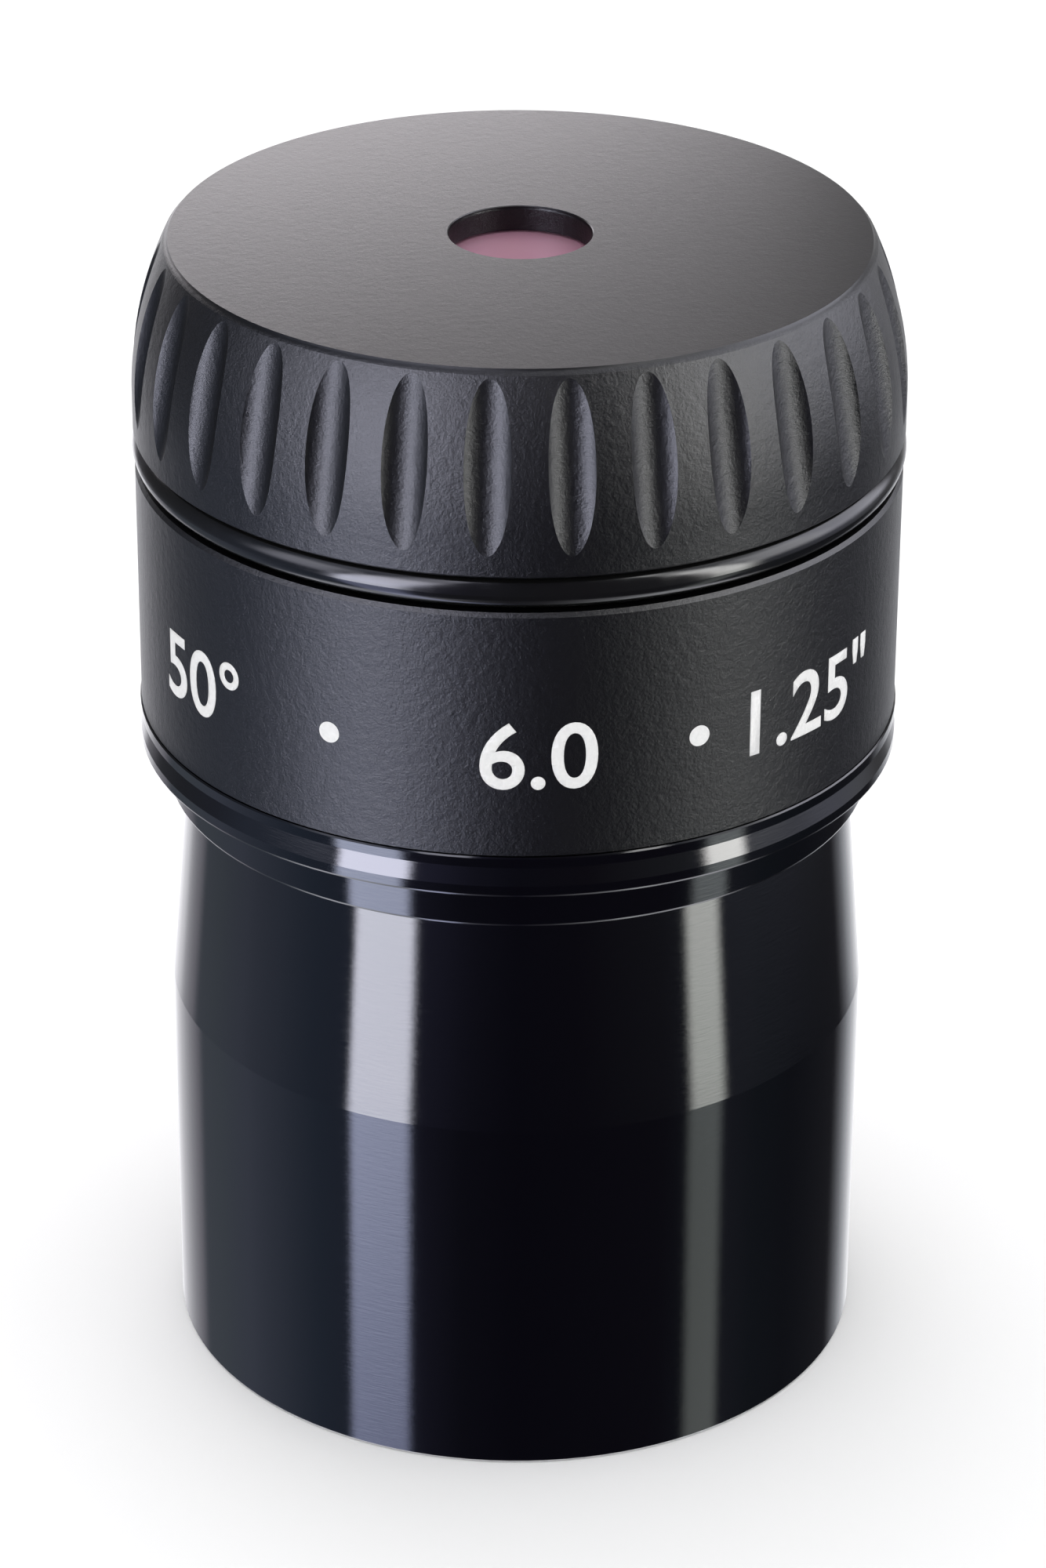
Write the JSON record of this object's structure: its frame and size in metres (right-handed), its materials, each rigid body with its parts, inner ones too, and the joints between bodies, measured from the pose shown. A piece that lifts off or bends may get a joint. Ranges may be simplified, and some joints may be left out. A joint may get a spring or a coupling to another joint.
{
  "type": "telescope eyepiece",
  "caption": "Push-fit telescope eyepiece: undercut glossy barrel, blasted housing, O-ring and scalloped screw-off cap with a small eye hole over two cemented doublets.",
  "frame": {"origin": "centre of the barrel's mouth, on the plane it stands on", "axes": "+Z along the optical axis, from the barrel's mouth to the eye; the part is round about Z"},
  "size_m": [0.0342, 0.0342, 0.0533],
  "materials": {
    "gloss_anodised": "gloss black anodised",
    "blasted_anodised": "bead-blasted black anodised",
    "rubber": "glossy black rubber",
    "inner_anodised": "matte black anodised",
    "coated_glass": "magenta anti-reflection coating"
  },
  "bodies": {
    "barrel": {"barrel": "gloss_anodised"},
    "lens_stack": {"eye_flint": "coated_glass", "eye_crown": "coated_glass", "lens_spacer": "inner_anodised", "field_crown": "coated_glass", "field_flint": "coated_glass"},
    "housing": {"housing": "blasted_anodised", "lens_cell": "inner_anodised", "lens_retainer": "inner_anodised", "field_stop": "inner_anodised", "cell_lock_ring": "inner_anodised"},
    "o_ring": {"o_ring": "rubber"},
    "cap": {"grip_cap": "blasted_anodised"}
  },
  "joints": [
    {"name": "housing_lift", "type": "slide", "parent": "barrel", "child": "lens_stack", "axis": [0, 0, 1], "range_m": [0, 0.00375]},
    {"name": "housing_turn", "type": "hinge", "parent": "lens_stack", "child": "housing", "pos_m": [0, 0, 0.0355], "axis": [0, 0, 1], "range_deg": [0, 1800]},
    {"name": "cap_lift", "type": "slide", "parent": "housing", "child": "o_ring", "axis": [0, 0, 1], "range_m": [0, 0.003]},
    {"name": "cap_turn", "type": "hinge", "parent": "o_ring", "child": "cap", "pos_m": [0, 0, 0.045], "axis": [0, 0, 1], "range_deg": [0, 1440]}
  ],
  "couplings": [
    {"joint": "housing_lift", "follows": "housing_turn", "m_per_rad": 0.00011937},
    {"joint": "cap_lift", "follows": "cap_turn", "m_per_rad": 0.00011937}
  ]
}
